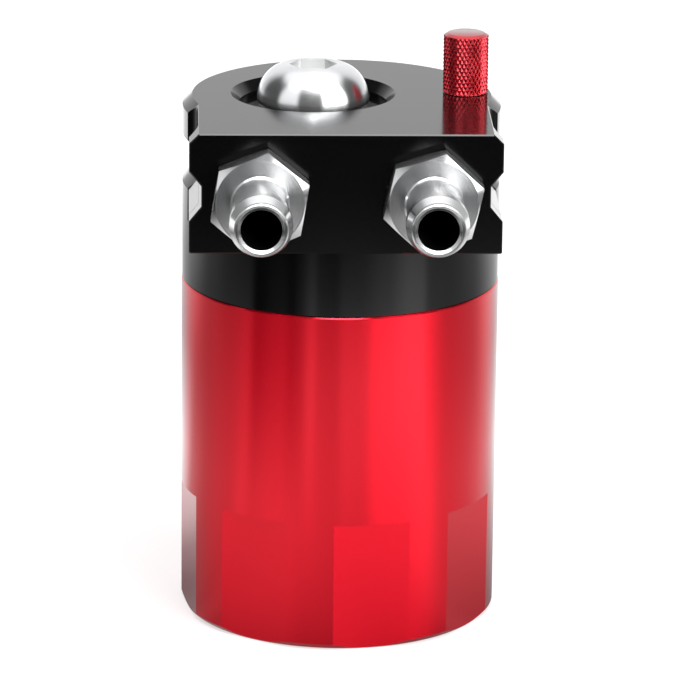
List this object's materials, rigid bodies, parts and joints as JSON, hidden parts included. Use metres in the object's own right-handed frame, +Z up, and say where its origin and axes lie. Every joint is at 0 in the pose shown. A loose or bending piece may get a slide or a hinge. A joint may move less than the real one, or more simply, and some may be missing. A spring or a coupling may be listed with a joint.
{
  "type": "oil catch can",
  "caption": "Round engine-bay oil catch can with a screwed billet head, hose barbs on the front, domed vent plug and pull-out dipstick; it separates oil from crankcase gas.",
  "frame": {"origin": "centre of the can's flat base", "axes": "+Z up along the can's axis, -Y along the hose fittings away from the head, +X to the right seen from the fittings"},
  "size_m": [0.076, 0.1066, 0.141],
  "materials": {
    "red_anodised": "satin red anodised, fine turning lines",
    "black_anodised": "satin black anodised, machined",
    "bright_aluminium": "bright turned",
    "polished_aluminium": "polished",
    "plain_aluminium": "mill finish",
    "spring_steel": "oiled spring steel",
    "stainless": "stainless, ground",
    "knitted_mesh": "open knitted mesh pad",
    "seal_rubber": "moulded nitrile rubber"
  },
  "bodies": {
    "can": {"can_body": "red_anodised"},
    "neck_seal": {"can_o_ring": "seal_rubber"},
    "head": {"head": "black_anodised", "inlet_fitting": "bright_aluminium", "outlet_fitting": "bright_aluminium", "inlet_o_ring": "seal_rubber", "outlet_o_ring": "seal_rubber", "inlet_down_tube": "plain_aluminium", "upper_screen": "stainless", "mesh_pad": "knitted_mesh", "baffle_plate": "stainless", "baffle_circlip": "spring_steel"},
    "plug_seal": {"plug_o_ring": "seal_rubber"},
    "plug": {"breather_plug": "polished_aluminium"},
    "dipstick": {"dipstick_knob": "red_anodised", "dipstick_rod": "stainless", "dipstick_o_ring": "seal_rubber"}
  },
  "joints": [
    {"name": "head_rise", "type": "slide", "parent": "can", "child": "neck_seal", "axis": [0, 0, 1], "range_m": [0, 0.008]},
    {"name": "head_unscrew", "type": "hinge", "parent": "neck_seal", "child": "head", "pos_m": [0, 0, 0.082], "axis": [0, 0, 1], "range_deg": [0, 1920]},
    {"name": "plug_rise", "type": "slide", "parent": "head", "child": "plug_seal", "axis": [0, 0, 1], "range_m": [0, 0.008]},
    {"name": "plug_unscrew", "type": "hinge", "parent": "plug_seal", "child": "plug", "pos_m": [-0.0068, 0.00135, 0.1228], "axis": [0, 0, 1], "range_deg": [0, 1920]},
    {"name": "dipstick_lift", "type": "slide", "parent": "head", "child": "dipstick", "axis": [0, 0, 1], "range_m": [0, 0.1]}
  ],
  "couplings": [
    {"joint": "head_rise", "follows": "head_unscrew", "m_per_rad": 0.00023873},
    {"joint": "plug_rise", "follows": "plug_unscrew", "m_per_rad": 0.00023873}
  ]
}
